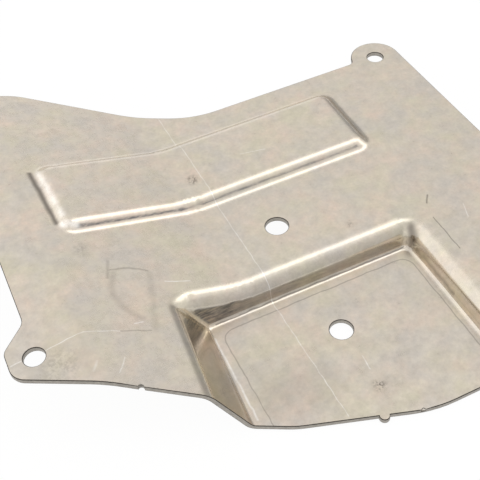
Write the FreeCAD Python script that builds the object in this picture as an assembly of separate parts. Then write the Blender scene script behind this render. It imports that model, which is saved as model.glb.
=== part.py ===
import FreeCAD, Part
import math
import os
from FreeCAD import Vector

# Oil pan skid plate: one aluminium sheet pressed in a die, all sizes in millimetres.
# X runs along the back edge, Y towards the back, Z up. The origin is the centre of the
# plate hole, on the top face of the main flat.

# sheet
sheet_thickness = 2.5

# bends that lift the side flange above the main flat, both parallel to Y
ramp_bend_x = -31.0
ramp_angle = 15.0
ramp_length = 73.5
ramp_bend_radius = 60.0
flange_bend_radius = 40.0

# raised pad that stiffens the sheet across the ramp bend
pad_back_y = 74.6
pad_front_y = 26.1
pad_right_x = 67.7
pad_left_gap = 3.6
pad_height = 4.6
pad_front_draft = 45.0
pad_end_draft = 45.0
pad_foot_radius = 6.0
pad_crown_radius = 8.0
pad_corner_radius = 9.0

# recess that opens through the front edge
recess_depth = 12.0
recess_back_y = -30.2
recess_right_x = 53.2
recess_left_x = -49.6
recess_left_lean = 4.0
recess_steep_draft = 13.0
recess_left_draft = 33.0
recess_floor_radius = 2.5
recess_rim_radius = 9.5
recess_right_corner_radius = 5.0
recess_left_corner_radius = 3.2

# outline seen from above
back_edge_y = 90.7
right_edge_x = 120.8
front_edge_y = -109.8
front_corner_radius = 15.0
wing_edge_angle = 30.0
wing_edge_start_x = -3.8
wing_edge_blend_radius = 50.0
left_edge_x = -122.5
wing_corner_radius = 28.0
front_slant_angle = 28.4
front_slope_angle = 18.6
front_slant_end_x = -38.0
front_slant_blend_radius = 40.0
front_slope_blend_radius = 60.0

# bolt lugs and holes, the back lug rounded about its hole and level with the right edge,
# the side lug's hole just outside the left edge
back_lug_y = 89.7
back_lug_radius = 13.4
back_lug_blend_radius = 3.5
side_lug_offset = 0.4
side_lug_y = -33.6
side_lug_reach = 10.7
side_lug_shoulder = 18.4
side_lug_shoulder_radius = 6.0
side_lug_corner_radius = 5.0
side_lug_tip_radius = 8.0
lug_bore = 9.0
plate_hole_bore = 11.0
drain_hole_x = 1.6
drain_hole_y = -58.2
drain_hole_bore = 10.5

# marks on the sheared front edge: a half-round notch, a torn tag and a nick in the top corner
edge_notch_x = -90.0
edge_notch_radius = 1.2
edge_tag_x = -4.2
edge_tag_radius = 2.3
edge_nick_x = 11.0
edge_nick_radius = 0.9
edge_nick_depth = 1.2

# room around the sheet for the forming solids
die_margin = ramp_length / 2
die_depth = ramp_length + recess_depth
wall_reach = 2 * pad_height
touch = 1e-4


def rounded_edges(corners):
    """Straight runs through a list of (point, radius), each inner corner turned into an arc."""
    edges = []
    run_start = corners[0][0]
    for index in range(1, len(corners) - 1):
        point, radius = corners[index]
        before = (corners[index - 1][0] - point).normalize()
        after = (corners[index + 1][0] - point).normalize()
        half_angle = before.getAngle(after) / 2
        arc_start = point + before * (radius / math.tan(half_angle))
        arc_end = point + after * (radius / math.tan(half_angle))
        inward = (before + after).normalize()
        arc_middle = point + inward * (radius / math.sin(half_angle) - radius)
        edges.append(Part.makeLine(run_start, arc_start))
        edges.append(Part.Arc(arc_start, arc_middle, arc_end).toShape())
        run_start = arc_end
    edges.append(Part.makeLine(run_start, corners[-1][0]))
    return edges


def plan_point(x, y):
    return Vector(x, y, 0)


def faceted_solid(low_points, high_points):
    """Closed solid with flat sides between two outlines of as many points."""
    faces = [Part.Face(Part.makePolygon(low_points[::-1] + low_points[-1:]))]
    faces.append(Part.Face(Part.makePolygon(high_points + high_points[:1])))
    count = len(low_points)
    for index in range(count):
        following = (index + 1) % count
        quad = [low_points[index], low_points[following], high_points[following], high_points[index]]
        faces.append(Part.Face(Part.makePolygon(quad + quad[:1])))
    return Part.makeSolid(Part.makeShell(faces))


def folded_block(depth):
    """Everything below the folded sheet, its top face lying depth under the sheet's top face."""
    shift = depth * math.tan(math.radians(ramp_angle / 2))
    rise = ramp_length * math.sin(math.radians(ramp_angle))
    run = ramp_length * math.cos(math.radians(ramp_angle))
    right = right_edge_x + die_margin
    left = left_edge_x - die_margin
    path = [
        (Vector(right, 0, -depth), 0),
        (Vector(ramp_bend_x - shift, 0, -depth), ramp_bend_radius + depth),
        (Vector(ramp_bend_x - run - shift, 0, rise - depth), flange_bend_radius - depth),
        (Vector(left, 0, rise - depth), 0),
    ]
    edges = rounded_edges(path)
    floor_right = Vector(right, 0, -die_depth)
    floor_left = Vector(left, 0, -die_depth)
    edges.append(Part.makeLine(path[-1][0], floor_left))
    edges.append(Part.makeLine(floor_left, floor_right))
    edges.append(Part.makeLine(floor_right, path[0][0]))
    section = Part.Face(Part.Wire(Part.__sortEdges__(edges)))
    span = 4 * die_depth
    section.translate(Vector(0, -span, 0))
    return section.extrude(Vector(0, 2 * span, 0))


def half_space(side):
    """Large box on one side of the plane that halves the ramp bend, +1 right or -1 left."""
    size = 4 * die_depth
    start = ramp_bend_x if side > 0 else ramp_bend_x - size
    box = Part.makeBox(size, 2 * size, 2 * size, Vector(start, -size, -size))
    box.rotate(Vector(ramp_bend_x, 0, 0), Vector(0, 1, 0), ramp_angle / 2)
    return box


def wall_shift(height, draft, depth):
    """How far a sloping wall leans in at a height, once it is moved by depth across itself."""
    return height * math.tan(math.radians(draft)) + depth / math.cos(math.radians(draft))


def pad_reach(side):
    """Length of the pad's foot from the ramp bend, the left end a gap short of the flange bend."""
    if side > 0:
        return pad_right_x - ramp_bend_x
    flange_bend_run = flange_bend_radius * math.tan(math.radians(ramp_angle / 2))
    return ramp_length - flange_bend_run - pad_left_gap


def pad_side(depth, side):
    """Sloping walls of one half of the pad, drawn flat, from below the sheet to above it."""
    outlines = []
    for height in (-wall_reach, wall_reach):
        front_y = pad_front_y + wall_shift(height, pad_front_draft, depth)
        end_shift = wall_shift(height, pad_end_draft, depth)
        back_y = pad_back_y - end_shift
        end_x = ramp_bend_x + side * (pad_reach(side) - end_shift)
        inner_x = ramp_bend_x - side * die_margin
        outline = [(inner_x, front_y), (end_x, front_y), (end_x, back_y), (inner_x, back_y)]
        outlines.append([Vector(x, y, height) for x, y in outline[::side]])
    return faceted_solid(outlines[0], outlines[1])


def slanted_edges(solid):
    """Edges that climb from the low outline of a walled solid to its high one."""
    return [edge for edge in solid.Edges
            if edge.BoundBox.YLength > wall_reach and edge.BoundBox.ZLength > wall_reach]


def pad_walls(depth):
    """Both halves of the pad's walls, the left one turned up with the ramp, corners rounded."""
    right_half = pad_side(depth, 1).common(half_space(1))
    left_half = pad_side(depth, -1)
    left_half.rotate(Vector(ramp_bend_x, 0, 0), Vector(0, 1, 0), ramp_angle)
    left_half = left_half.common(half_space(-1))
    walls = right_half.fuse(left_half).removeSplitter()
    corners = [edge for edge in slanted_edges(walls) if abs(edge.CenterOfMass.x - ramp_bend_x) > wall_reach]
    walls = walls.makeFillet(pad_corner_radius - depth, corners)
    bends = [edge for edge in slanted_edges(walls) if abs(edge.CenterOfMass.x - ramp_bend_x) < wall_reach]
    return walls.makeFillet(ramp_bend_radius + depth, bends)


def crossing_edges(shape, first, second):
    """Edges of the shape along which the skins of two other solids cross."""
    chosen = []
    for edge in shape.Edges:
        middle = Part.Vertex(edge.valueAt((edge.FirstParameter + edge.LastParameter) / 2))
        on_first = first.Shells[0].distToShape(middle)[0] < touch
        on_second = second.Shells[0].distToShape(middle)[0] < touch
        if on_first and on_second:
            chosen.append(edge)
    return chosen


def nearest_edge(shape, point):
    return min(shape.Edges, key=lambda edge: edge.CenterOfMass.distanceToPoint(point))


def pad_block(depth):
    """The pad: the folded sheet raised by its height and bounded by the sloping walls."""
    top = folded_block(depth)
    top.translate(Vector(0, 0, pad_height))
    walls = pad_walls(depth)
    block = top.common(walls)
    return block.makeFillet(pad_crown_radius - depth, crossing_edges(block, top, walls))


def recess_outline(height, depth):
    """Corners of the recess at one height, its walls moved out by depth."""
    climb = height + recess_depth
    steep_shift = wall_shift(climb, recess_steep_draft, depth)
    left_shift = wall_shift(climb, recess_left_draft, depth)
    lean = math.radians(recess_left_lean)
    back_y = recess_back_y + steep_shift
    front_y = front_edge_y - die_margin
    right_x = recess_right_x + steep_shift
    corners = []
    for y in (back_y, front_y):
        x = recess_left_x - left_shift / math.cos(lean) + (y - recess_back_y) * math.tan(lean)
        corners.append(Vector(x, y, height))
    return corners + [Vector(right_x, front_y, height), Vector(right_x, back_y, height)]


def recess_block(depth):
    """Space of the recess, rounded at its back corners and round its floor, open to the front."""
    floor = -recess_depth - depth
    above = ramp_length * math.sin(math.radians(ramp_angle)) + wall_reach
    block = faceted_solid(recess_outline(floor, depth), recess_outline(above, depth))
    corners = [edge for edge in block.Edges
               if edge.BoundBox.ZLength > wall_reach and edge.BoundBox.YMin > front_edge_y]
    left_corner, right_corner = sorted(corners, key=lambda edge: edge.CenterOfMass.x)
    block = block.makeFillet(recess_left_corner_radius + depth, [left_corner])
    right_corner = nearest_edge(block, right_corner.CenterOfMass)
    block = block.makeFillet(recess_right_corner_radius + depth, [right_corner])
    floor_edges = [edge for edge in block.Edges
                   if edge.BoundBox.ZMax < floor + touch and edge.BoundBox.YMax > front_edge_y]
    return block.makeFillet(recess_floor_radius + depth, floor_edges)


def formed_block(depth):
    """Everything below the pressed sheet, depth under its top face, with all bends rounded."""
    base = folded_block(depth)
    recess = recess_block(depth)
    form = base.cut(recess)
    form = form.makeFillet(recess_rim_radius - depth, crossing_edges(form, base, recess))
    pad = pad_block(depth)
    form = form.fuse(pad)
    return form.makeFillet(pad_foot_radius + depth, crossing_edges(form, base, pad))


def along(start, angle, x):
    """Point at x on the line through start that is turned by angle from the X axis."""
    return plan_point(x, start.y + (x - start.x) * math.tan(math.radians(angle)))


def blank_outline():
    """Outline of the sheet from above: the back lug's arcs, then the edge round by the wing."""
    lug = plan_point(right_edge_x - back_lug_radius, back_lug_y)
    blend_reach = back_lug_radius + back_lug_blend_radius
    blend_rise = back_edge_y + back_lug_blend_radius - back_lug_y
    blend = lug + plan_point(-math.sqrt(blend_reach ** 2 - blend_rise ** 2), blend_rise)
    blend_start = lug + (blend - lug) * (back_lug_radius / blend_reach)
    blend_end = plan_point(blend.x, back_edge_y)
    blend_middle = blend + ((blend_start + blend_end) / 2 - blend).normalize() * back_lug_blend_radius
    lug_start = lug + plan_point(back_lug_radius, 0)
    lug_top = lug + plan_point(0, back_lug_radius)

    side_lug_x = left_edge_x - side_lug_offset
    tip_x = side_lug_x - side_lug_reach
    shoulder_y = side_lug_y + side_lug_shoulder
    slant_drop = side_lug_reach / math.cos(math.radians(front_slant_angle))
    below_lug = plan_point(side_lug_x, side_lug_y - slant_drop)
    wing_start = plan_point(wing_edge_start_x, back_edge_y)
    slant_end = along(below_lug, -front_slant_angle, front_slant_end_x)
    slope_run = (slant_end.y - front_edge_y) / math.tan(math.radians(front_slope_angle))
    corners = [
        (blend_end, 0),
        (wing_start, wing_edge_blend_radius),
        (along(wing_start, -wing_edge_angle, left_edge_x), wing_corner_radius),
        (plan_point(left_edge_x, shoulder_y), side_lug_shoulder_radius),
        (plan_point(tip_x, shoulder_y - (left_edge_x - tip_x)), side_lug_corner_radius),
        (along(below_lug, -front_slant_angle, tip_x), side_lug_tip_radius),
        (slant_end, front_slant_blend_radius),
        (plan_point(slant_end.x + slope_run, front_edge_y), front_slope_blend_radius),
        (plan_point(right_edge_x, front_edge_y), front_corner_radius),
        (lug_start, 0),
    ]
    edges = rounded_edges(corners)
    edges.append(Part.Arc(lug_start, lug_top, blend_start).toShape())
    edges.append(Part.Arc(blend_start, blend_middle, blend_end).toShape())
    return Part.Face(Part.Wire(Part.__sortEdges__(edges)))


def front_edge_point(blank, x):
    """Where the front edge of the outline crosses x."""
    crossing = blank.common(Part.makeLine(plan_point(x, front_edge_y - die_margin), plan_point(x, 0)))
    return plan_point(x, crossing.BoundBox.YMin)


def post(point, radius):
    """Upright cylinder about a point of the plan, longer than the sheet is deep."""
    return Part.makeCylinder(radius, 2 * die_depth, point - Vector(0, 0, die_depth))


def skid_plate():
    blank = blank_outline()
    prism = blank.extrude(Vector(0, 0, 2 * die_depth))
    prism.translate(Vector(0, 0, -die_depth))
    tag = post(front_edge_point(blank, edge_tag_x), edge_tag_radius)
    notch = post(front_edge_point(blank, edge_notch_x), edge_notch_radius)
    nick_top = front_edge_point(blank, edge_nick_x) - Vector(0, 0, recess_depth)
    nick = Part.makeCylinder(edge_nick_radius, edge_nick_depth, nick_top - Vector(0, 0, edge_nick_depth))
    holes = [
        post(plan_point(0, 0), plate_hole_bore / 2),
        post(plan_point(drain_hole_x, drain_hole_y), drain_hole_bore / 2),
        post(plan_point(right_edge_x - back_lug_radius, back_lug_y), lug_bore / 2),
        post(plan_point(left_edge_x - side_lug_offset, side_lug_y), lug_bore / 2),
    ]
    sheet = formed_block(0).cut(formed_block(sheet_thickness))
    plate = sheet.common(prism.fuse(tag))
    return plate.cut(holes + [notch, nick]).removeSplitter()


os.makedirs("parts", exist_ok=True)
plate = skid_plate()
plate.exportStep("parts/skid_plate.step")
print("skid_plate solids", len(plate.Solids), "valid", plate.isValid(), "volume", round(plate.Volume))
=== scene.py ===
import math
import bmesh
import bpy
import numpy as np
from mathutils import Matrix, Vector


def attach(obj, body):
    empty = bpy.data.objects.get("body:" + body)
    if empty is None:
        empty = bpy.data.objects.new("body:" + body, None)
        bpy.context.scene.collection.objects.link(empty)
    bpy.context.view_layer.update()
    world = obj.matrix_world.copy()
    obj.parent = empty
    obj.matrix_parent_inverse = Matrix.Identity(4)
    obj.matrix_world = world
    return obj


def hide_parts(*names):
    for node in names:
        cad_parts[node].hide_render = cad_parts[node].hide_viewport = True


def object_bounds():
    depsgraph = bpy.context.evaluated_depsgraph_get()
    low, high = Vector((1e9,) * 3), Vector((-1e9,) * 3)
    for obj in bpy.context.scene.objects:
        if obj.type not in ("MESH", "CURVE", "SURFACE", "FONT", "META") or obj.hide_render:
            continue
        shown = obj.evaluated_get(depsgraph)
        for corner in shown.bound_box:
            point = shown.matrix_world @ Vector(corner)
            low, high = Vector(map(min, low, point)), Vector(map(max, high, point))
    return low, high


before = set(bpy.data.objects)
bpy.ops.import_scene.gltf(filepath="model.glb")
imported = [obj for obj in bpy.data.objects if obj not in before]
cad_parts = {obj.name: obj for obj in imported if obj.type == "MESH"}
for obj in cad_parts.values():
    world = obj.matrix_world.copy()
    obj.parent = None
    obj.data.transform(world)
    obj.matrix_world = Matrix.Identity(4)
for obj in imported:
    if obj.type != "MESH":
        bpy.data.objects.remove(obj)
cadLow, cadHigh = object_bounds()
mm = 0.001


def linearColour(hexText):
    # sRGB hex to linear, each channel by the standard curve
    channels = [int(hexText[i:i + 2], 16) / 255 for i in (0, 2, 4)]
    return [c / 12.92 if c <= 0.04045 else ((c + 0.055) / 1.055) ** 2.4 for c in channels] + [1]


def addNode(tree, kind, links=None, **settings):
    # one node with its settings; a link is (input, source node, output), a value sits on its own input
    # a Mix node has its factor on input 0, numbers on 2 and 3, colours on 6 and 7
    node = tree.nodes.new("ShaderNode" + kind)
    inputs = settings.pop("inputs", {})
    for name, value in settings.items():
        setattr(node, name, value)
    for name, value in inputs.items():
        node.inputs[name].default_value = value
    for name, source, output in links or []:
        tree.links.new(source.outputs[output], node.inputs[name])
    return node


def mapSpan(fromSpan, toSpan=(0, 1)):
    # the four values that carry one span over to another
    return dict(zip(("From Min", "From Max", "To Min", "To Max"), (*fromSpan, *toSpan)))


def levelsAlong(tree, source, output, steps):
    # grey levels along one direction, given as (place, level) from the lowest place to the highest
    low, high = steps[0][0], steps[-1][0]
    share = addNode(tree, "MapRange", [("Value", source, output)], inputs=mapSpan((low, high)))
    levels = addNode(tree, "ValToRGB", [(0, share, 0)])
    stops = levels.color_ramp.elements
    while len(stops) < len(steps):
        stops.new(0.5)
    for stop, (place, level) in zip(stops, steps):
        stop.position = (place - low) / (high - low)
        stop.color = (level, level, level, 1)
    return levels


# pressed sheet, its surface taken from the CAD solid

sheet = {
    "rollWidth": 0.3 * mm,      # rounding that shearing leaves along the cut edges
    "rollSteps": 3,
    "weldGap": 0.001 * mm,
    "flatAngle": 0.2,           # triangles closer to one plane than this are one face, in degrees
    "uprightShare": 0.05,       # a cut face stands this near to upright
}


def weldedCopy(node):
    mesh = node.data.copy()
    work = bmesh.new()
    work.from_mesh(mesh)
    bmesh.ops.remove_doubles(work, verts=work.verts, dist=sheet["weldGap"])
    flat = math.radians(sheet["flatAngle"])
    bmesh.ops.dissolve_limit(work, angle_limit=flat, verts=work.verts, edges=work.edges)
    work.to_mesh(mesh)
    work.free()
    return mesh


def cutFaces(mesh):
    # a cut face stands nearly upright: its normal has almost no upward share
    normals = np.empty(len(mesh.polygons) * 3)
    mesh.polygons.foreach_get("normal", normals)
    return np.abs(normals[2::3]) < sheet["uprightShare"]


def rolledEdges(mesh, isCut):
    # an edge is rolled where just one of its two faces is a cut face
    # and where it is longer than the roll is wide
    loopEdges = np.empty(len(mesh.loops), np.int32)
    mesh.loops.foreach_get("edge_index", loopEdges)
    corners = np.empty(len(mesh.polygons), np.int32)
    mesh.polygons.foreach_get("loop_total", corners)
    isCutLoop = np.repeat(isCut, corners)
    cutSides = np.bincount(loopEdges, weights=isCutLoop, minlength=len(mesh.edges))
    ends = np.empty(len(mesh.edges) * 2, np.int32)
    mesh.edges.foreach_get("vertices", ends)
    places = np.empty(len(mesh.vertices) * 3)
    mesh.vertices.foreach_get("co", places)
    starts, stops = places.reshape(-1, 3)[ends.reshape(-1, 2).T]
    longEnough = np.linalg.norm(stops - starts, axis=1) > sheet["rollWidth"]
    return (cutSides == 1) & longEnough


# Bare rolled aluminium: a metal with a warm grey cast. Oil and handling leave soft patches of warm,
# yellow and cool grey, and the die burnishes the rounded lines, so they shine more than the flats.
# Steep walls, the feet and a corner of the recess and the pad's left end carry painted shade,
# and some crowns and wall feet carry painted highlights.
aluminium = {
    "greys": ("D2C8BA", "DCC9B9", "D0C9B4", "C9C2B9"),   # plain, warm, yellowish and cool patches
    "patchSize": 17,            # millimetres, as all sizes, depths and places below
    "patchEdge": (0.42, 0.68),  # noise level where a patch starts and is full
    "patchShare": 0.85,         # how much of its own grey a full patch shows
    "blotchSize": 5,
    "blotchShade": (0.9, 1.06),
    "grainSize": 1.4,           # rolled grain is finer; this is as coarse as it needs to show
    "grainShade": (0.95, 1.04),
    "grainDepth": 0.003,
    "noiseSpan": (0.3, 0.7),    # noise levels between which shade and roughness change
    "waveSize": 70,             # slow waves of the rolled sheet
    "waveHeight": 0.5,
    "flatRoughness": (0.27, 0.36),
    "formedRoughness": 0.16,
    "formedTilt": (0.985, 0.9), # upward share of the normal where the burnished lines start and are full
    "gallSize": 1.0,            # dark ticks torn by the die on steep walls, which also carry painted shade
    "gallStretch": 0.16,        # ticks are drawn out along X
    "gallEdge": (0.35, 0.62),   # noise level where a tick starts and is full
    "gallAndShadeTone": "6B6C6F",       # dull grey of the torn metal and the painted shade of the steep walls
    "gallAndShadeShare": (0.15, 0.95),  # how much of it shows between the ticks and on them
    "padGallAndShadeTilt": (0.755, 0.7),    # upward share of the normal where tearing and painted shade start and are full
    "recessGallAndShadeTilt": (0.46, 0.34),
    "padSide": (5, 15),         # along Y, where the recess's tearing and painted shade give way to the pad's
    # tearing and painted shade along X in the recess: full on its left wall, less along the back, least on
    # its right wall
    "recessTearAndShade": ((-48, 1.0), (-38, 0.9), (-26, 0.35), (40, 0.2), (47, 0.4), (52, 0.05)),
    # colour of bright scratches and of painted highlights
    "brightScratchAndHighlight": "F6F3EE",
    "scratchDepth": 0.02,
    "wornEdge": (0.35, 0.6),    # blotch level where bright scratches and painted highlights are faintest and whole
    "wornShare": (0.35, 1),
    # colour of dark stains and of the painted shade in the recess's creases and corner and on the pad's
    # left end
    "darkStainAndShade": "756E66",
    "speckEdge": (0.42, 0.6),   # grain level where a speck of a smudge starts and is full
    "shakeSize": 6,             # spacing of the small bends in a mark's line
    "shakeReach": 0.6,          # how far they stray from it
}

# scratches and lines of painted highlight and painted shade seen from above: the points of a line, then its
# width in millimetres and strength
brightScratchesAndHighlights = [
    (((-20.3, 103.5), (-17.2, -97.0)), 0.34, 0.6),
    (((83.7, -28.3), (80.8, -36.4)), 0.4, 0.6),
    (((-60.6, -12.8), (-50.3, -15.7)), 0.45, 0.8),
    (((-118.2, -32.7), (-101.8, -30.6), (-88.0, -34.6)), 0.38, 0.65),
    (((-132.4, -33.8), (-127.5, -33.3)), 0.5, 0.6),
    (((-95.2, -55.0), (-90.9, -48.5)), 0.4, 0.6),
    (((-104.0, -50.6), (-101.4, -46.8)), 0.9, 0.4),
    (((-81.2, -32.7), (-77.8, -32.6)), 0.5, 0.7),
    (((2.4, -74.2), (2.3, -81.6)), 0.4, 0.6),
    (((4.3, 48.7), (16.8, 46.0)), 0.35, 0.5),
    (((-83.0, 74.8), (-52.1, 71.5), (-30.0, 70.0)), 0.5, 0.7),
    # painted highlight along the foot of the recess's left wall
    (((-49.4, -37.4), (-50.5, -81.7)), 0.8, 0.6),
    # painted highlights along the crown of the pad's left end and at its front left corner
    (((-91.5, 70.0), (-89.4, 36.0)), 2.4, 0.5),
    (((-91.0, 31.5), (-85.5, 28.6)), 2.4, 0.8),
]
darkScratchesAndShade = [
    (((66.4, -29.3), (66.1, -51.0)), 0.45, 0.7),
    (((72.0, -15.9), (69.0, -20.3)), 0.7, 0.7),
    (((-88.0, -34.6), (-76.1, -38.1)), 0.5, 0.4),
    (((-79.7, 5.2), (-83.0, -4.6)), 1.4, 0.3),
    (((-81.5, -0.2), (-76.9, -0.5), (-72.4, -1.2), (-68.2, -2.9), (-65.3, -5.0)), 0.9, 0.4),
    (((-80.1, -2.4), (-82.9, -9.0), (-84.0, -15.2), (-82.8, -22.0), (-80.1, -27.0),
      (-77.3, -30.5)), 2.6, 0.22),
    (((-65.3, -6.5), (-68.4, -19.0), (-71.4, -28.1), (-74.4, -38.2)), 2.4, 0.16),
    # painted shade on the wall of the pad's left end
    (((-95.2, 71.5), (-93.4, 34.0)), 2.1, 0.9),
    (((55.2, -28.6), (54.0, -32.0)), 4.0, 0.9),         # painted shade in the recess's right back corner
    (((-46.0, -30.7), (50.5, -30.7)), 0.55, 0.75),      # painted shade along the foot of the back wall
    (((53.9, -36.0), (53.9, -66.0)), 0.5, 0.4),         # painted shade along the foot of the right wall
    (((-38.0, -74.0), (-24.0, -79.0)), 20.0, 0.2),      # soft dark patch on the recess floor
]

# smudges, and painted shade in the recess's right back corner, seen from above: centre, radius in
# millimetres, strength
smudgesAndShade = [
    ((-24.3, 43.0), 5.0, 1.0),
    ((1.5, -90.0), 5.0, 0.9),
    ((-88.7, 15.0), 7.0, 0.4),
    ((30.1, -15.5), 3.0, 0.6),
    # painted shade in the recess's right back corner
    ((53.8, -30.8), 5.0, 0.9),
    ((-115.0, -42.0), 16.0, 0.35),
]

# faint line that the die leaves inside the recess floor, in millimetres
dieLine = {
    "back": -35.8,
    "left": -46.0,
    "right": 49.4,
    "corner": 6.0,
    "width": 0.45,
    "strength": 0.55,
}


def segmentGap(tree, plan, start, end):
    # distance to the nearest point of a line from start to end
    run = np.subtract(end, start)
    along = tuple(run / run.dot(run)) + (0,)
    fromStart = addNode(tree, "VectorMath", [(0, plan, 0)], operation="SUBTRACT", inputs={1: (*start, 0)})
    share = addNode(tree, "VectorMath", [(0, fromStart, 0)], operation="DOT_PRODUCT", inputs={1: along})
    kept = addNode(tree, "Clamp", [("Value", share, "Value")])
    foot = addNode(tree, "VectorMath", [("Scale", kept, 0)], operation="SCALE", inputs={0: (*run, 0)})
    return addNode(tree, "VectorMath", [(0, fromStart, 0), (1, foot, 0)], operation="DISTANCE")


def lineMask(tree, plan, points, width, strength):
    gaps = [segmentGap(tree, plan, *ends) for ends in zip(points, points[1:])]
    nearest = gaps[0]
    for gap in gaps[1:]:
        nearest = addNode(tree, "Math", [(0, nearest, "Value"), (1, gap, "Value")], operation="MINIMUM")
    return addNode(tree, "MapRange", [("Value", nearest, "Value")], interpolation_type="SMOOTHSTEP",
                   inputs=mapSpan((0, width), (strength, 0)))


def spotMask(tree, plan, centre, radius, strength):
    gap = addNode(tree, "VectorMath", [(0, plan, 0)], operation="DISTANCE", inputs={1: (*centre, 0)})
    return addNode(tree, "MapRange", [("Value", gap, "Value")], interpolation_type="SMOOTHSTEP",
                   inputs=mapSpan((0, radius), (strength, 0)))


def strongest(tree, masks):
    total = masks[0]
    for mask in masks[1:]:
        total = addNode(tree, "Math", [(0, total, 0), (1, mask, 0)], operation="MAXIMUM")
    return total


def dieLineMask(tree, plan):
    # distance to a three-sided outline with rounded corners, from the overhang past each side
    part = addNode(tree, "SeparateXYZ", [(0, plan, 0)])
    inner = dieLine["corner"]
    middle = (dieLine["left"] + dieLine["right"]) / 2
    straightHalf = (dieLine["right"] - dieLine["left"]) / 2 - inner
    straightBack = dieLine["back"] - inner
    fromMiddle = addNode(tree, "Math", [(0, part, "X")], operation="SUBTRACT", inputs={1: middle})
    aside = addNode(tree, "Math", [(0, fromMiddle, 0)], operation="ABSOLUTE")
    over = addNode(tree, "Math", [(0, aside, 0)], operation="SUBTRACT", inputs={1: straightHalf})
    behind = addNode(tree, "Math", [(0, part, "Y")], operation="SUBTRACT", inputs={1: straightBack})
    past = addNode(tree, "CombineXYZ", [("X", over, 0), ("Y", behind, 0)])
    outside = addNode(tree, "VectorMath", [(0, past, 0)], operation="MAXIMUM", inputs={1: (0, 0, 0)})
    gap = addNode(tree, "VectorMath", [(0, outside, 0)], operation="LENGTH")
    off = addNode(tree, "Math", [(0, gap, "Value")], operation="SUBTRACT", inputs={1: inner})
    near = addNode(tree, "Math", [(0, off, 0)], operation="ABSOLUTE")
    return addNode(tree, "MapRange", [("Value", near, 0)],
                   inputs=mapSpan((0, dieLine["width"]), (dieLine["strength"], 0)))


def greyPatches(tree, inMm, blotches, grain):
    # each channel of one noise lays a grey over those before it; blotches and grain shade the result
    patches = addNode(tree, "TexNoise", [("Vector", inMm, 0)],
                      inputs={"Scale": 1 / aluminium["patchSize"], "Detail": 4, "Roughness": 0.6})
    hues = addNode(tree, "SeparateColor", [(0, patches, "Color")])
    plainGrey, *otherGreys = [linearColour(hexText) for hexText in aluminium["greys"]]
    under = []
    for grey, channel in zip(otherGreys, ("Red", "Green", "Blue")):
        share = addNode(tree, "MapRange", [("Value", hues, channel)],
                        inputs=mapSpan(aluminium["patchEdge"], (0, aluminium["patchShare"])))
        colour = addNode(tree, "Mix", [(0, share, 0)] + under, data_type="RGBA",
                         inputs={6: plainGrey, 7: grey})
        under = [(6, colour, 2)]
    blotchShade = addNode(tree, "MapRange", [("Value", blotches, 0)],
                          inputs=mapSpan(aluminium["noiseSpan"], aluminium["blotchShade"]))
    grainShade = addNode(tree, "MapRange", [("Value", grain, 0)],
                         inputs=mapSpan(aluminium["noiseSpan"], aluminium["grainShade"]))
    shade = addNode(tree, "Math", [(0, blotchShade, 0), (1, grainShade, 0)], operation="MULTIPLY")
    return addNode(tree, "VectorMath", [(0, colour, 2), ("Scale", shade, 0)], operation="SCALE")


def tornAndShadedWalls(tree, inMm, steepness):
    # share of torn metal and painted shade: the pad's and the recess's steep walls, broken into drawn-out
    # ticks
    padTornAndShaded, recessTornAndShaded = (
        addNode(tree, "MapRange", [("Value", steepness, 0)], inputs=mapSpan(aluminium[tilt]))
        for tilt in ("padGallAndShadeTilt", "recessGallAndShadeTilt"))
    spot = addNode(tree, "SeparateXYZ", [(0, inMm, 0)])
    tearAndShadeLevel = levelsAlong(tree, spot, "X", aluminium["recessTearAndShade"])
    recessShare = addNode(tree, "Math", [(0, recessTornAndShaded, 0), (1, tearAndShadeLevel, 0)], operation="MULTIPLY")
    onPad = addNode(tree, "MapRange", [("Value", spot, "Y")], inputs=mapSpan(aluminium["padSide"]))
    steepShare = addNode(tree, "Mix", [(0, onPad, 0), (2, recessShare, 0), (3, padTornAndShaded, 0)])
    drawn = addNode(tree, "VectorMath", [(0, inMm, 0)], operation="MULTIPLY",
                    inputs={1: (aluminium["gallStretch"], 1, 1)})
    ticks = addNode(tree, "TexNoise", [("Vector", drawn, 0)],
                    inputs={"Scale": 1 / aluminium["gallSize"], "Detail": 4, "Roughness": 0.75})
    tornAndShadedShare = addNode(tree, "MapRange", [("Value", ticks, 0)],
                   inputs=mapSpan(aluminium["gallEdge"], aluminium["gallAndShadeShare"]))
    return addNode(tree, "Math", [(0, steepShare, 0), (1, tornAndShadedShare, 0)], operation="MULTIPLY")


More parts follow.
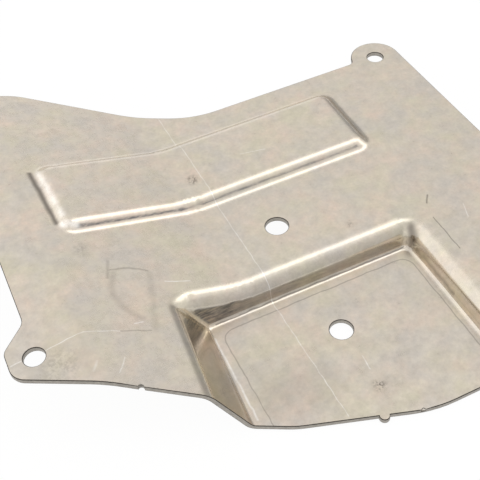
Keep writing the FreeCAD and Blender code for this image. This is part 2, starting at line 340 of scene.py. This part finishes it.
def marksAndPaintedLight(tree, inMm, upward, blotches, grain):
    # dark and bright marks with painted shade and painted highlights among them, drawn from above with a
    # slight shake, on the upper face only
    fromAbove = addNode(tree, "VectorMath", [(0, inMm, 0)], operation="MULTIPLY", inputs={1: (1, 1, 0)})
    shake = addNode(tree, "TexNoise", [("Vector", fromAbove, 0)],
                    inputs={"Scale": 1 / aluminium["shakeSize"], "Detail": 2})
    reach = aluminium["shakeReach"]
    shift = addNode(tree, "VectorMath", [(0, shake, "Color")], operation="MULTIPLY_ADD",
                    inputs={1: (2 * reach, 2 * reach, 0), 2: (-reach, -reach, 0)})
    plan = addNode(tree, "VectorMath", [(0, fromAbove, 0), (1, shift, 0)], operation="ADD")
    onTop = addNode(tree, "Math", [(0, upward, "Z")], operation="GREATER_THAN", inputs={1: 0})

    smudgeAndShade = strongest(tree, [spotMask(tree, plan, *mark) for mark in smudgesAndShade])
    specks = addNode(tree, "MapRange", [("Value", grain, 0)], inputs=mapSpan(aluminium["speckEdge"]))
    specked = addNode(tree, "Math", [(0, smudgeAndShade, 0), (1, specks, 0)], operation="MULTIPLY")
    darkLines = [lineMask(tree, plan, *mark) for mark in darkScratchesAndShade]
    dark = strongest(tree, darkLines + [dieLineMask(tree, plan), specked])
    darkTop = addNode(tree, "Math", [(0, dark, 0), (1, onTop, 0)], operation="MULTIPLY")

    bright = strongest(tree, [lineMask(tree, plan, *mark) for mark in brightScratchesAndHighlights])
    brightTop = addNode(tree, "Math", [(0, bright, 0), (1, onTop, 0)], operation="MULTIPLY")
    worn = addNode(tree, "MapRange", [("Value", blotches, 0)],
                   inputs=mapSpan(aluminium["wornEdge"], aluminium["wornShare"]))
    brightLines = addNode(tree, "Math", [(0, brightTop, 0), (1, worn, 0)], operation="MULTIPLY")
    return darkTop, brightLines


def bareMetal(name):
    material = bpy.data.materials.new(name)
    material.use_nodes = True
    shader = material.node_tree.nodes["Principled BSDF"]
    shader.inputs["Metallic"].default_value = 1
    return material, material.node_tree, shader


def millAluminium():
    material, tree, shader = bareMetal("mill finish aluminium")
    place = addNode(tree, "TexCoord")
    inMm = addNode(tree, "VectorMath", [(0, place, "Object")], operation="SCALE", inputs={"Scale": 1 / mm})
    blotches = addNode(tree, "TexNoise", [("Vector", inMm, 0)],
                       inputs={"Scale": 1 / aluminium["blotchSize"], "Detail": 5, "Roughness": 0.65})
    grain = addNode(tree, "TexNoise", [("Vector", inMm, 0)],
                    inputs={"Scale": 1 / aluminium["grainSize"], "Detail": 3, "Roughness": 0.7})
    facing = addNode(tree, "NewGeometry")
    upward = addNode(tree, "SeparateXYZ", [(0, facing, "Normal")])
    steepness = addNode(tree, "Math", [(0, upward, "Z")], operation="ABSOLUTE")

    # grey patches, then torn metal with painted shade, dark marks with painted shade and bright scratches
    # with painted highlights over them
    plain = greyPatches(tree, inMm, blotches, grain)
    tornAndShadedShare = tornAndShadedWalls(tree, inMm, steepness)
    dark, bright = marksAndPaintedLight(tree, inMm, upward, blotches, grain)
    tinted = addNode(tree, "Mix", [(0, tornAndShadedShare, 0), (6, plain, 0)], data_type="RGBA",
                     inputs={7: linearColour(aluminium["gallAndShadeTone"])})
    stained = addNode(tree, "Mix", [(0, dark, 0), (6, tinted, 2)], data_type="RGBA",
                      inputs={7: linearColour(aluminium["darkStainAndShade"])})
    marked = addNode(tree, "Mix", [(0, bright, 0), (6, stained, 2)], data_type="RGBA",
                     inputs={7: linearColour(aluminium["brightScratchAndHighlight"])})
    tree.links.new(marked.outputs[2], shader.inputs["Base Color"])

    # dull where blotched, shiny where burnished
    dull = addNode(tree, "MapRange", [("Value", blotches, 0)],
                   inputs=mapSpan(aluminium["noiseSpan"], aluminium["flatRoughness"]))
    formed = addNode(tree, "MapRange", [("Value", steepness, 0)], inputs=mapSpan(aluminium["formedTilt"]))
    sheen = addNode(tree, "Mix", [(0, formed, 0), (2, dull, 0)], inputs={3: aluminium["formedRoughness"]})
    tree.links.new(sheen.outputs[0], shader.inputs["Roughness"])

    # slow waves of the sheet, shallow scratch grooves and grain, heights in millimetres
    wave = addNode(tree, "TexNoise", [("Vector", inMm, 0)],
                   inputs={"Scale": 1 / aluminium["waveSize"], "Detail": 1})
    swell = addNode(tree, "Math", [(0, wave, 0)], operation="MULTIPLY",
                    inputs={1: aluminium["waveHeight"]})
    grooved = addNode(tree, "Math", [(0, bright, 0), (2, swell, 0)], operation="MULTIPLY_ADD",
                      inputs={1: -aluminium["scratchDepth"]})
    grained = addNode(tree, "Math", [(0, grain, 0), (2, grooved, 0)], operation="MULTIPLY_ADD",
                      inputs={1: aluminium["grainDepth"]})
    bump = addNode(tree, "Bump", [("Height", grained, 0)], inputs={"Strength": 1, "Distance": mm})
    tree.links.new(bump.outputs[0], shader.inputs["Normal"])
    return material


# Cut edges: bare torn metal, duller than the faces and mottled between two greys. The shear rolls
# the edge over into a burr, and its near-black greys are painted shade along the outline.
cutEdge = {
    "tearSize": 1.5 * mm,
    "sheared edge": {"greys": ("77726B", "C2BCB3"), "roughness": 0.45},
    # painted shade: the rolled edge is given near-black greys
    "rolled burr with painted shade": {"greys": ("2B2825", "57524C"), "roughness": 0.4},
}


def edgeAluminium(name):
    material, tree, shader = bareMetal(name)
    finish = cutEdge[name]
    shader.inputs["Roughness"].default_value = finish["roughness"]
    place = addNode(tree, "TexCoord")
    tear = addNode(tree, "TexNoise", [("Vector", place, "Object")],
                   inputs={"Scale": 1 / cutEdge["tearSize"], "Detail": 4, "Roughness": 0.7})
    darkGrey, lightGrey = (linearColour(hexText) for hexText in finish["greys"])
    tone = addNode(tree, "Mix", [(0, tear, 0)], data_type="RGBA", inputs={6: darkGrey, 7: lightGrey})
    tree.links.new(tone.outputs[2], shader.inputs["Base Color"])
    return material


def pressedSheet():
    mesh = weldedCopy(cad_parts["skid_plate"])
    mesh.name = "pressed_sheet"
    mesh.materials.clear()
    mesh.materials.append(millAluminium())
    mesh.materials.append(edgeAluminium("sheared edge"))
    mesh.materials.append(edgeAluminium("rolled burr with painted shade"))
    isCut = cutFaces(mesh)
    mesh.polygons.foreach_set("material_index", isCut.astype(np.int32))
    mesh.polygons.foreach_set("use_smooth", np.ones(len(mesh.polygons), bool))
    rolled = mesh.attributes.new("bevel_weight_edge", "FLOAT", "EDGE")
    rolled.data.foreach_set("value", rolledEdges(mesh, isCut).astype(np.float32))
    piece = bpy.data.objects.new("pressed_sheet", mesh)
    bpy.context.scene.collection.objects.link(piece)
    roll = piece.modifiers.new("sheared roll", "BEVEL")
    roll.limit_method = "WEIGHT"
    roll.width = sheet["rollWidth"]
    roll.segments = sheet["rollSteps"]
    # the rolled edge takes the burr material, painted dark as shade
    roll.material = mesh.materials.find("rolled burr with painted shade")
    roll.use_clamp_overlap = False
    roll.loop_slide = False
    joined = piece.modifiers.new("joined roll ends", "WELD")
    joined.merge_threshold = sheet["weldGap"]
    even = piece.modifiers.new("even shading", "WEIGHTED_NORMAL")
    even.keep_sharp = True
    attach(piece, "root")
    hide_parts("skid_plate")
    print("pressed sheet faces", len(mesh.polygons))


pressedSheet()

# floor, white to the eye and to the metal, still catching a faint shadow, clear from below

stage = {
    "floorSize": 6.0,           # metres
    "floorColour": "F4F3F1",
    "whiteShare": 0.95,         # the rest is lit paper, which holds the shadow
    "gap": 0.05 * mm,           # floor this far under the part's lowest face
}


def floorMaterial():
    material = bpy.data.materials.new("white paper floor")
    material.use_nodes = True
    tree = material.node_tree
    tree.nodes.clear()
    path = addNode(tree, "LightPath")
    direct = addNode(tree, "Math", [(0, path, "Is Camera Ray"), (1, path, "Is Glossy Ray")],
                     operation="MAXIMUM")
    seen = addNode(tree, "Math", [(0, direct, 0), (1, path, "Is Transmission Ray")], operation="MAXIMUM")
    share = addNode(tree, "Math", [(0, seen, 0)], operation="MULTIPLY", inputs={1: stage["whiteShare"]})
    paper = addNode(tree, "BsdfDiffuse", inputs={"Color": linearColour(stage["floorColour"])})
    white = addNode(tree, "Emission", inputs={"Color": (1, 1, 1, 1), "Strength": 1})
    both = addNode(tree, "MixShader", [(0, share, 0), (1, paper, 0), (2, white, 0)])
    side = addNode(tree, "NewGeometry")
    clear = addNode(tree, "BsdfTransparent")
    fromAbove = addNode(tree, "MixShader", [(0, side, "Backfacing"), (1, both, 0), (2, clear, 0)])
    addNode(tree, "OutputMaterial", [("Surface", fromAbove, 0)])
    return material


def floorSheet():
    half = stage["floorSize"] / 2
    low = cadLow.z - stage["gap"]
    corners = [(x, y, low) for x, y in ((-half, -half), (half, -half), (half, half), (-half, half))]
    mesh = bpy.data.meshes.new("floor")
    mesh.from_pydata(corners, [], [(0, 1, 2, 3)])
    mesh.materials.append(floorMaterial())
    floor = bpy.data.objects.new("floor", mesh)
    bpy.context.scene.collection.objects.link(floor)


floorSheet()
print("floor set")

# light: a bright band overhead from left to right, an even white around it

studio = {
    # level across the sky from the front horizon (-1) to the back horizon (1), as share of the peak,
    # held between these shares of the direction to the right; the rest of the sky is even
    "across": ((-1.0, 0.3), (-0.6, 0.4), (-0.3, 0.57), (-0.12, 1.0), (0.05, 1.0), (0.2, 0.5),
               (0.4, 0.4), (0.62, 0.46), (0.8, 0.44), (1.0, 0.6)),
    "fadeIn": (-0.06, 0.14),
    "fadeOut": (0.82, 0.94),
    "evenLevel": 0.45,
    "leftLevel": 0.62,              # brighter left side
    "leftSpan": (0.0, -0.4),
    "darkCard": (0.8, 0.58, 0.05),  # direction of a dark card, low at the far right
    "cardSpan": (0.84, 0.985),      # nearness to that direction where the card starts and is full
    "cardShare": 0.5,               # light that is left there
    "peak": 2.2,
}


def studioWorld():
    world = bpy.data.worlds.new("studio")
    bpy.context.scene.world = world
    world.use_nodes = True
    tree = world.node_tree
    tree.nodes.clear()
    direction = addNode(tree, "TexCoord")
    part = addNode(tree, "SeparateXYZ", [(0, direction, "Generated")])

    # the band, held between its two fades, and the even sky beside it
    band = levelsAlong(tree, part, "Y", studio["across"])
    fadeIn = addNode(tree, "MapRange", [("Value", part, "X")], inputs=mapSpan(studio["fadeIn"]))
    fadeOut = addNode(tree, "MapRange", [("Value", part, "X")], inputs=mapSpan(studio["fadeOut"], (1, 0)))
    held = addNode(tree, "Math", [(0, fadeIn, 0), (1, fadeOut, 0)], operation="MULTIPLY")
    evenLevels = (studio["evenLevel"], studio["leftLevel"])
    even = addNode(tree, "MapRange", [("Value", part, "X")], inputs=mapSpan(studio["leftSpan"], evenLevels))
    level = addNode(tree, "Mix", [(0, held, 0), (2, even, 0), (3, band, 0)])

    # full light, less towards the dark card
    nearCard = addNode(tree, "VectorMath", [(0, direction, "Generated")], operation="DOT_PRODUCT",
                       inputs={1: Vector(studio["darkCard"]).normalized()})
    cardLevels = (studio["peak"], studio["peak"] * studio["cardShare"])
    peak = addNode(tree, "MapRange", [("Value", nearCard, "Value")], interpolation_type="SMOOTHSTEP",
                   inputs=mapSpan(studio["cardSpan"], cardLevels))
    light = addNode(tree, "Math", [(0, level, 0), (1, peak, 0)], operation="MULTIPLY")

    # plain white where the camera sees it
    path = addNode(tree, "LightPath")
    strength = addNode(tree, "Mix", [(0, path, "Is Camera Ray"), (2, light, 0)], inputs={3: 1})
    shine = addNode(tree, "Background", [("Strength", strength, 0)], inputs={"Color": (1, 1, 1, 1)})
    addNode(tree, "OutputWorld", [("Surface", shine, 0)])


studioWorld()
print("light set")

# camera at the photograph's angle

camera = {
    "place": (-119.43, -251.25, 296.69),    # millimetres
    "yaw": 21.78,                           # degrees from +Y towards +X
    "pitch": 47.62,                         # degrees below the horizon
    "roll": 4.78,                           # degrees
    "focalPixels": 871.4,
    "imagePixels": 480,
    "sensorWidth": 36.0,                    # millimetres
    "clipStart": 10 * mm,
}


def setCamera():
    yaw, pitch, roll = (math.radians(camera[turn]) for turn in ("yaw", "pitch", "roll"))
    ahead = math.cos(pitch)
    forward = Vector((math.sin(yaw) * ahead, math.cos(yaw) * ahead, -math.sin(pitch)))
    level = Vector((math.cos(yaw), -math.sin(yaw), 0))
    down = forward.cross(level)
    right = math.cos(roll) * level + math.sin(roll) * down
    up = math.sin(roll) * level - math.cos(roll) * down
    data = bpy.data.cameras.new("camera")
    data.sensor_width = camera["sensorWidth"]
    data.lens = camera["focalPixels"] / camera["imagePixels"] * camera["sensorWidth"]
    data.clip_start = camera["clipStart"]
    eye = bpy.data.objects.new("camera", data)
    turned = Matrix((right, up, -forward)).transposed().to_4x4()
    eye.matrix_world = Matrix.Translation(Vector(camera["place"]) * mm) @ turned
    bpy.context.scene.collection.objects.link(eye)
    bpy.context.scene.camera = eye


setCamera()
bpy.context.scene.view_settings.view_transform = "Standard"
print("camera set")
